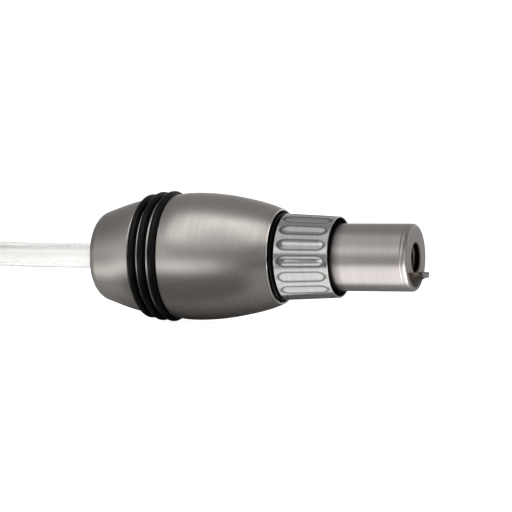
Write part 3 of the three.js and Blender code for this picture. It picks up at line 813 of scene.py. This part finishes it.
def finished_nose():
    mesh = combined(nose_tube(), beak(), "UNION")
    mesh.shade_smooth()
    mesh.set_sharp_from_angle(angle=math.radians(28))
    return mesh


add_object("nose_body", finished_nose(), "nose_steel", "nose_holder", "nose")

# ---- The hose: straight out of the rear face, then five laps of a tied hank. ----

HOSE_DIAMETER = 0.006

hank_low, hank_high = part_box("hose_hank")
PITCH = HOSE_DIAMETER
LANE_SPACING = 0.97 * PITCH           # a soft hose gives a little where two lanes press together
HANK_RUN = 60 * MM
LANE_OUTER = (hank_high.y - hank_low.y) / 2 - HOSE_DIAMETER / 2
LANE_INNER = LANE_OUTER - LANE_SPACING
HANK_MIDDLE_Y = (hank_low.y + hank_high.y) / 2
HANK_REAR_X = hank_low.x + (hank_high.y - hank_low.y) / 2
HANK_FRONT_X = HANK_REAR_X + HANK_RUN
LAYER_BOTTOM = hank_low.z + HOSE_DIAMETER / 2
LAYER_MIDDLE = LAYER_BOTTOM + PITCH
LAYER_TOP = LAYER_MIDDLE + PITCH

# The places that the hose takes in turn, lap by lap, and where in the lap it moves to the next:
# 0 to 1 is the near run going back, 1 to 2 the rear fold, 2 to 3 the far run, 3 to 4 the front fold.
PLACES = [
    (LANE_OUTER, LAYER_TOP), (LANE_OUTER, LAYER_MIDDLE), (LANE_OUTER, LAYER_BOTTOM),
    (LANE_INNER, LAYER_BOTTOM), (LANE_INNER, LAYER_MIDDLE), (LANE_INNER, LAYER_TOP),
]
MOVES = [(3.5, 4.0), (3.02, 3.5), (2.5, 3.0), (2.0, 2.5), (2.0, 2.5)]
RUN_STEPS = 12
FOLD_STEPS = 28


def eased(t):
    t = min(max(t, 0.0), 1.0)
    return t * t * (3.0 - 2.0 * t)


def hank_point(lap, phase):
    """A point of one lap, whose phase runs from 0 to 4 through its two runs and two folds."""
    start, end = MOVES[lap]
    share = eased((phase - start) / (end - start))
    radius = PLACES[lap][0] * (1 - share) + PLACES[lap + 1][0] * share
    height = PLACES[lap][1] * (1 - share) + PLACES[lap + 1][1] * share
    if phase < 1:
        x, y = HANK_FRONT_X + (HANK_REAR_X - HANK_FRONT_X) * phase, radius
    elif phase < 2:
        angle = math.pi * (phase - 1)
        x, y = HANK_REAR_X - radius * math.sin(angle), radius * math.cos(angle)
    elif phase < 3:
        x, y = HANK_REAR_X + (HANK_FRONT_X - HANK_REAR_X) * (phase - 2), -radius
    else:
        angle = math.pi * (phase - 3)
        x, y = HANK_FRONT_X + radius * math.sin(angle), -radius * math.cos(angle)
    return Vector((x, HANK_MIDDLE_Y + y, height))


nut_low, nut_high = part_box("plug_nut")
plug_axis_y = (nut_low.y + nut_high.y) / 2
plug_axis_z = (nut_low.z + nut_high.z) / 2

# From inside the rear face to the first lap, and from the last lap up to the knurled nut.
lead = [
    on_axis(8.0), on_axis(0.0), on_axis(-10.0), on_axis(-20.0, z=0.1), on_axis(-32.0, z=0.45),
    Vector((HANK_FRONT_X + 10 * MM, HANK_MIDDLE_Y + LANE_OUTER, LAYER_TOP)),
]
tail = [
    Vector((HANK_FRONT_X - 9 * MM, HANK_MIDDLE_Y + 16.9 * MM, 16.3 * MM)),
    Vector((HANK_FRONT_X - 14.5 * MM, HANK_MIDDLE_Y + 14.2 * MM, 15.6 * MM)),
    Vector((HANK_FRONT_X - 19.5 * MM, HANK_MIDDLE_Y + 11.2 * MM, 14.2 * MM)),
    Vector((HANK_FRONT_X - 25 * MM, HANK_MIDDLE_Y + 7.2 * MM, 11.2 * MM)),
    Vector((HANK_FRONT_X - 31 * MM, HANK_MIDDLE_Y + 4.2 * MM, 8.1 * MM)),
    Vector((nut_high.x + 3 * MM, plug_axis_y + 0.05 * MM, plug_axis_z + 0.05 * MM)),
    Vector((nut_high.x, plug_axis_y, plug_axis_z)),
]
laps = []
for lap in range(len(MOVES)):
    for stretch, steps in enumerate((RUN_STEPS, FOLD_STEPS, RUN_STEPS, FOLD_STEPS)):
        laps += [hank_point(lap, stretch + step / steps) for step in range(steps)]
laps.append(Vector((HANK_FRONT_X, HANK_MIDDLE_Y + LANE_INNER, LAYER_TOP)))
route = smooth_through(lead + [laps[0]], 6)[:-1] + laps[:-1]
route += smooth_through([laps[-1]] + tail, 6)


def swept_tube(name, points, outer, inner, sides):
    """A tube with a bore, swept along points on frames that don't twist."""
    edit = bmesh.new()
    walls = []
    across = Vector((0.0, 0.0, 1.0))
    for i, place in enumerate(points):
        ahead = (points[min(i + 1, len(points) - 1)] - points[max(i - 1, 0)]).normalized()
        across = (across - ahead * across.dot(ahead)).normalized()
        beside = ahead.cross(across)
        rings = []
        for radius in (outer, inner):
            ring = []
            for k in range(sides):
                angle = 2 * math.pi * k / sides
                offset = across * math.cos(angle) + beside * math.sin(angle)
                ring.append(edit.verts.new(place + offset * radius))
            rings.append(ring)
        walls.append(rings)
    for here, there in zip(walls, walls[1:]):
        for ring, following in zip(here, there):
            for k in range(sides):
                j = (k + 1) % sides
                edit.faces.new([ring[k], ring[j], following[j], following[k]])
    for rings in (walls[0], walls[-1]):
        for k in range(sides):
            j = (k + 1) % sides
            edit.faces.new([rings[0][k], rings[0][j], rings[1][j], rings[1][k]])
    mesh = solid_from(edit, name)
    mesh.shade_smooth()
    mesh.set_sharp_from_angle(angle=math.radians(60))
    return mesh


HOSE_BORE_RADIUS = 2.0 * MM
hose = add_object(
    "hose_run", swept_tube("hose_run", route, HOSE_DIAMETER / 2, HOSE_BORE_RADIUS, 24),
    "hose", "housing", "hose", "hose_hank", "hose_tail")

# ---- On the hose: a knurled nut, an air plug and two straps round the hank. ----

NUT_LENGTH = 10.0
NUT_RADIUS = 6.5
KNURL_DEPTH = 0.22
KNURLS_ROUND = 32
KNURL_PITCH = 1.25


def on_plug_axis(station, y=0.0, z=0.0):
    """A point from a station that runs from the nut's hose end towards the plug's tip."""
    return Vector((nut_high.x - station * MM, plug_axis_y + y * MM, plug_axis_z + z * MM))


def knurled_radius(station, radius, angle):
    """The nut's radius where two crossed sets of spiral grooves are cut in it."""
    if radius < NUT_RADIUS - 0.05:
        return radius
    left = math.sin((KNURLS_ROUND * angle + 2 * math.pi * station / KNURL_PITCH) / 2)
    right = math.sin((KNURLS_ROUND * angle - 2 * math.pi * station / KNURL_PITCH) / 2)
    return radius - KNURL_DEPTH * max(1 - abs(left), 1 - abs(right)) ** 2


def plug_nut():
    """Knurled round its middle, with plain bevelled ends."""
    rows = 40
    knurl = [
        (1.0 + (NUT_LENGTH - 2.0) * i / rows, NUT_RADIUS - (0.04 if i in (0, rows) else 0.0))
        for i in range(rows + 1)
    ]
    ends = [(NUT_LENGTH - 0.9, 6.2), (NUT_LENGTH - 0.3, 6.1), (NUT_LENGTH, 5.6), (NUT_LENGTH, 0)]
    profile = [(0, 0), (0, 5.4), (0.15, 5.6), (0.8, 6.2), *knurl, *ends]
    mesh = turned_mesh("plug_nut", profile, 6 * KNURLS_ROUND, knurled_radius, on_plug_axis)
    mesh.set_sharp_from_angle(angle=math.radians(50))
    return mesh


def hose_plug():
    """A collar that grips the nut, a shank, and a tip with the catch groove of an air plug."""
    start = NUT_LENGTH + 0.3
    outline = softened([
        (start, 0), (start, 5.2), (start + 2.2, 5.2), (start + 2.2, 4.8), (start + 3.0, 4.8),
        (start + 3.0, 5.2), (start + 7, 5.2), (start + 8, 3.9), (start + 13, 3.9),
        (start + 13.6, 3.1), (start + 16, 3.1), (start + 16.6, 3.9), (start + 21, 3.7),
        (start + 22, 2.9), (start + 22, 1.6), (start + 4, 1.6), (start + 4, 0),
    ], 0.25, closed=False)
    return turned_mesh("hose_plug", outline, 72, place=on_plug_axis)


add_object("knurled_plug_nut", plug_nut(), "brass", "housing", "plug_nut")
add_object("air_plug", hose_plug(), "hard_steel", "housing", "hose_plug")

STRAP_THICKNESS = 1.2
STRAP_CORNER_RADIUS = 3.0
STRAP_TAB_THICKNESS = 0.9
STRAP_TAB_INSET = 0.3                 # from the band's edge, on each side
STRAP_TAB_SHORTER = 2.4               # than half the strap's width, at each end
STRAP_TAB_CORNER_RADIUS = 1.6
STRAP_TAB_SHIFT = 0.6
STRAP_TAB_SUNK = 0.1
STRAP_BEVEL = 0.12


def rounded_rectangle(half_wide, half_high, radius, steps=6):
    """An outline of (u, v) points, with each corner as an arc."""
    points = []
    for corner, (u, v) in enumerate(((1, 1), (-1, 1), (-1, -1), (1, -1))):
        for i in range(steps + 1):
            angle = (corner + i / steps) * math.pi / 2
            points.append((
                u * (half_wide - radius) + radius * math.cos(angle),
                v * (half_high - radius) + radius * math.sin(angle),
            ))
    return points


def strap(node):
    """A flat band once round the turns, with its free end pressed down on top."""
    low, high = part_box(node)
    middle = (low + high) / 2
    half_wide = (high.y - low.y) / 2 / MM
    half_high = (high.z - low.z) / 2 / MM
    width = (high.x - low.x) / MM
    outer = rounded_rectangle(half_wide, half_high, STRAP_CORNER_RADIUS)
    inner = rounded_rectangle(
        half_wide - STRAP_THICKNESS, half_high - STRAP_THICKNESS,
        STRAP_CORNER_RADIUS - STRAP_THICKNESS)
    edit = bmesh.new()
    loops = []
    for along in (-width / 2, width / 2):
        for outline in (outer, inner):
            loops.append([
                edit.verts.new(middle + Vector((along, u, v)) * MM) for u, v in outline
            ])
    for one, other in ((0, 1), (2, 3), (0, 2), (1, 3)):
        for k in range(len(outer)):
            j = (k + 1) % len(outer)
            edit.faces.new([loops[one][k], loops[one][j], loops[other][j], loops[other][k]])
    tab = rounded_rectangle(
        width / 2 - STRAP_TAB_INSET, half_wide - STRAP_TAB_SHORTER, STRAP_TAB_CORNER_RADIUS)
    tab_low = half_high - STRAP_TAB_SUNK
    tab_loops = [
        [edit.verts.new(middle + Vector((u, v + STRAP_TAB_SHIFT, height)) * MM) for u, v in tab]
        for height in (tab_low, tab_low + STRAP_TAB_THICKNESS)
    ]
    for loop in tab_loops:
        edit.faces.new(loop)
    for k in range(len(tab)):
        j = (k + 1) % len(tab)
        edit.faces.new([tab_loops[0][k], tab_loops[0][j], tab_loops[1][j], tab_loops[1][k]])
    mesh = solid_from(edit, node)
    mesh.shade_smooth()
    mesh.set_sharp_from_angle(angle=math.radians(40))
    piece = add_object(node + "_band", mesh, "strap", "housing", node)
    edge = piece.modifiers.new("edge", "BEVEL")
    edge.width = STRAP_BEVEL * MM
    edge.segments = 2
    edge.limit_method = "ANGLE"
    edge.angle_limit = math.radians(50)
    return piece


straps = [strap("hank_tie_left"), strap("hank_tie_right")]

# ---- Floor, light and surroundings. ----

FLOOR_RADIUS = 6.0
FLOOR_DROP = 0.2 * MM
FLOOR_SEEN = 1.6
FLOOR_LIFT = 0.85
FLOOR_LIT = (0.66, 0.72)


def seen_directly(tree):
    """1 for what the camera sees straight or through the clear hose, 0 for what lights the metal."""
    path = tree.nodes.new("ShaderNodeLightPath")
    return math_node(
        tree, "MAXIMUM", path.outputs["Is Camera Ray"], path.outputs["Is Transmission Ray"])


def pale_floor():
    """White paper: plain white to look at, pale grey where it shows in the metal."""
    edit = bmesh.new()
    bmesh.ops.create_circle(edit, cap_ends=True, segments=64, radius=FLOOR_RADIUS)
    mesh = mesh_from(edit, "floor")
    floor = bpy.data.objects.new("floor", mesh)
    floor.location = (0, 0, -FLOOR_DROP)
    bpy.context.scene.collection.objects.link(floor)
    material, tree, shader = new_material("floor_paper")
    shader.inputs["Roughness"].default_value = 0.9
    shader.inputs["Specular IOR Level"].default_value = 0.0
    tone = noise(tree, (3.0, 3.0, 3.0), detail=2.0)
    seen = map_range(tree, tone, 0.3, 0.7, FLOOR_SEEN * 0.99, FLOOR_SEEN)
    lit = map_range(tree, tone, 0.3, 0.7, *FLOOR_LIT)
    straight = seen_directly(tree)
    tree.links.new(mix_colour(tree, straight, lit, seen), shader.inputs["Base Color"])
    tree.links.new(
        math_node(tree, "MULTIPLY", straight, FLOOR_LIFT), shader.inputs["Emission Strength"])
    mesh.materials.append(material)


pale_floor()


def softbox(name, direction, distance, about, width, height, radiance):
    """A rectangular light that looks equally bright wherever it is put."""
    data = bpy.data.lights.new(name, "AREA")
    data.shape = "RECTANGLE"
    data.size = width
    data.size_y = height
    data.energy = radiance * math.pi * width * height
    light = bpy.data.objects.new(name, data)
    light.location = about + Vector(direction).normalized() * distance
    light.rotation_euler = (-Vector(direction)).to_track_quat("-Z", "Y").to_euler()
    light.visible_camera = False
    light.visible_transmission = False
    bpy.context.scene.collection.objects.link(light)
    return light


def light_only(light, pieces):
    """Keep a light off everything but the named pieces."""
    group = bpy.data.collections.new(light.name + "_receivers")
    for piece in pieces:
        group.objects.link(bpy.data.objects[piece])
    light.light_linking.receiver_collection = group


HOUSING_PIECES = [
    "floor", "rear_cap_shell", "bulb_shell", *(ring + "_rubber" for ring, _, _ in GRIP_RINGS),
    "hose_run", "knurled_plug_nut", "air_plug", "hank_tie_left_band", "hank_tie_right_band",
]
COLLAR_PIECES = ["fluted_collar", "collar_ring_rubber"]
NOSE_PIECES = ["nose_body"]

# Each light's name, the direction and distance to it from a station on the axis, that station,
# its width, height and radiance, and the pieces that it lights.
SOFTBOXES = [
    ("key_left", (-0.28, -0.56, 0.74), 0.22, 20.0, 0.10, 0.20, 1.1, HOUSING_PIECES),
    ("body_wash", (-0.06, -0.58, 0.62), 0.30, 26.0, 0.20, 0.42, 0.44, HOUSING_PIECES),
    ("key_right", (0.26, -0.56, 0.79), 0.22, 36.0, 0.11, 0.18, 1.2, HOUSING_PIECES),
    ("front_low", (-0.36, -0.85, 0.38), 0.22, 62.0, 0.16, 0.10, 0.75, COLLAR_PIECES + NOSE_PIECES),
    ("front_high", (-0.36, -0.42, 0.84), 0.22, 62.0, 0.16, 0.14, 0.42, COLLAR_PIECES + NOSE_PIECES),
]
for name, direction, distance, station, width, height, radiance, pieces in SOFTBOXES:
    box = softbox(name, direction, distance, on_axis(station), width, height, radiance)
    light_only(box, pieces)

# Two low lights that shine straight up at the front of the tool from one place near the floor.
UNDER_FRONT_PLACE = Vector((22, -13.5, 6)) * MM
UNDER_FRONT_WIDTH = 52 * MM
UNDER_FRONT_DEPTH = 18 * MM
for name, radiance, pieces in (
        ("under_nose", 1.0, NOSE_PIECES), ("under_collar", 0.66, COLLAR_PIECES)):
    box = softbox(
        name, (0, 0, -1), 0.0, UNDER_FRONT_PLACE, UNDER_FRONT_WIDTH, UNDER_FRONT_DEPTH, radiance)
    box.rotation_euler = (math.pi, 0, 0)
    light_only(box, pieces)


def glossy_card(name, centre, half_width, half_depth, radiance, solid_share):
    """A card near the floor that only shows in the metal; it fades out at its edges."""
    edit = bmesh.new()
    bmesh.ops.create_grid(edit, x_segments=1, y_segments=1, size=1.0)
    mesh = mesh_from(edit, name)
    card = bpy.data.objects.new(name, mesh)
    card.location = centre
    card.scale = (half_width, half_depth, 1.0)
    bpy.context.scene.collection.objects.link(card)
    material = bpy.data.materials.new(name)
    material.use_nodes = True
    tree = material.node_tree
    tree.nodes.clear()
    coordinates = tree.nodes.new("ShaderNodeTexCoord").outputs["Object"]
    squares = vector_node(tree, "MULTIPLY", coordinates, coordinates)
    fade = tree.nodes.new("ShaderNodeMapRange")
    fade.interpolation_type = "SMOOTHSTEP"
    fade.inputs["From Min"].default_value = solid_share
    fade.inputs["To Min"].default_value = 1.0
    fade.inputs["To Max"].default_value = 0.0
    tree.links.new(vector_node(tree, "LENGTH", squares), fade.inputs["Value"])
    glow = tree.nodes.new("ShaderNodeEmission")
    glow.inputs["Strength"].default_value = radiance
    clear = tree.nodes.new("ShaderNodeBsdfTransparent")
    blend = tree.nodes.new("ShaderNodeMixShader")
    output = tree.nodes.new("ShaderNodeOutputMaterial")
    tree.links.new(fade.outputs["Result"], blend.inputs["Fac"])
    tree.links.new(clear.outputs[0], blend.inputs[1])
    tree.links.new(glow.outputs[0], blend.inputs[2])
    tree.links.new(blend.outputs[0], output.inputs["Surface"])
    mesh.materials.append(material)
    card.visible_camera = False
    card.visible_diffuse = False
    card.visible_transmission = False
    card.visible_shadow = False


# Each card's name, centre, half width and half depth in millimetres, its radiance, and how far
# out it stays solid before it fades. A flag is a dark card.
CARDS = [
    ("card_by_nose_end", (56, -22, 0.9), 20, 24, 2.0, 0.5),
    ("card_left_front", (-66, -74, 0.3), 76, 46, 1.55, 0.3),
    ("card_by_cap", (-78, -32, 0.5), 34, 24, 1.5, 0.4),
    ("flag_by_body", (-20, -23, 0.6), 26, 14, 0.16, 0.5),
    ("flag_by_collar", (27, -74, 0.6), 34, 42, 0.12, 0.6),
]
for name, centre, half_width, half_depth, radiance, solid_share in CARDS:
    glossy_card(name, Vector(centre) * MM, half_width * MM, half_depth * MM, radiance, solid_share)

# The surroundings are white to look at. In the metal they are a dim room with soft patches of
# light, each with its direction, how sharp it is, and its strength.
BACKDROP_SEEN = 1.3
ROOM_BASE = 0.19
ROOM_PATCHES = [
    ((-0.78, -0.63, 0.06), 12.0, 0.75),
    ((0.86, -0.50, -0.05), 18.0, 1.6),
    ((0.36, 0.93, 0.05), 6.0, 0.4),
    ((-0.2, 0.5, 0.85), 4.0, 0.12),
    ((-0.3, 0.9, 0.05), 20.0, 0.8),
]


def surroundings():
    world = bpy.data.worlds.new("surroundings")
    world.use_nodes = True
    bpy.context.scene.world = world
    tree = world.node_tree
    tree.nodes.clear()
    view_direction = tree.nodes.new("ShaderNodeTexCoord").outputs["Generated"]
    room_light = ROOM_BASE
    for direction, sharpness, strength in ROOM_PATCHES:
        toward = vector_node(
            tree, "DOT_PRODUCT", view_direction, Vector(direction).normalized())
        falloff = math_node(tree, "MULTIPLY", math_node(tree, "SUBTRACT", toward, 1.0), sharpness)
        patch = math_node(tree, "MULTIPLY", math_node(tree, "POWER", math.e, falloff), strength)
        room_light = math_node(tree, "ADD", patch, room_light)
    seen = tree.nodes.new("ShaderNodeBackground")
    seen.inputs["Strength"].default_value = BACKDROP_SEEN
    seen.inputs["Color"].default_value = (1.0, 1.0, 1.0, 1.0)
    lit = tree.nodes.new("ShaderNodeBackground")
    lit.inputs["Color"].default_value = (1.0, 1.0, 1.0, 1.0)
    tree.links.new(room_light, lit.inputs["Strength"])
    mix = tree.nodes.new("ShaderNodeMixShader")
    tree.links.new(seen_directly(tree), mix.inputs["Fac"])
    tree.links.new(lit.outputs["Background"], mix.inputs[1])
    tree.links.new(seen.outputs["Background"], mix.inputs[2])
    output = tree.nodes.new("ShaderNodeOutputWorld")
    tree.links.new(mix.outputs["Shader"], output.inputs["Surface"])


surroundings()
bpy.context.scene.view_settings.view_transform = "Standard"
bpy.context.scene.view_settings.look = "None"
